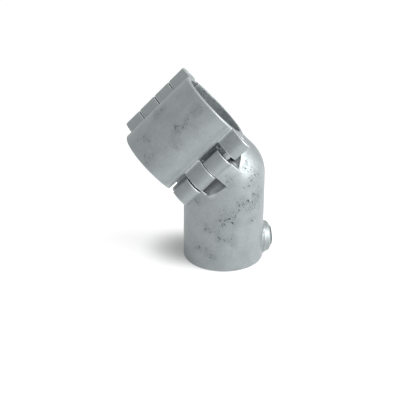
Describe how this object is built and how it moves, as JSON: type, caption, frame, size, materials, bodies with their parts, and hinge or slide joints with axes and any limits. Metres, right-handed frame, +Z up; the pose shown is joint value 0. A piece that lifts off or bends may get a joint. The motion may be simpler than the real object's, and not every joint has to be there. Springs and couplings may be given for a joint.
{
  "type": "hinged tube tee coupling",
  "caption": "Elbowed cast tee for round tube: a socket with a set screw carries a split sleeve whose cap swings on a hinge pin, so it closes round a tube that is already fixed.",
  "frame": {"origin": "centre of the socket's lower rim, on the socket's axis", "axes": "+Z up along the socket, the neck leans to -X in the XZ plane, the hinge is on the -Y side"},
  "size_m": [0.1067, 0.0718, 0.1385],
  "materials": {
    "casting": "hot-dip galvanised, cool mid-grey with fine pits",
    "cap": "hot-dip galvanised, cool mid-grey, smoother",
    "pin": "zinc plated",
    "screw": "case hardened and coated, dull grey"
  },
  "bodies": {
    "body": {"socket_body": "casting", "hinge_pin": "pin"},
    "cap": {"clamp_cap": "cap"},
    "socket_screw": {"socket_set_screw": "screw"},
    "sleeve_screw": {"sleeve_set_screw": "screw"}
  },
  "joints": [
    {"name": "cap_swing", "type": "hinge", "parent": "body", "child": "cap", "pos_m": [-0.01365, -0.02899, 0.08114], "axis": [0.7193, 0, 0.6947], "range_deg": [0, 160]},
    {"name": "socket_screw_travel", "type": "slide", "parent": "body", "child": "socket_screw", "axis": [1, 0, 0], "range_m": [-0.0015, 0.009]},
    {"name": "sleeve_screw_travel", "type": "slide", "parent": "body", "child": "sleeve_screw", "axis": [0, 1, 0], "range_m": [-0.0015, 0.009]}
  ]
}
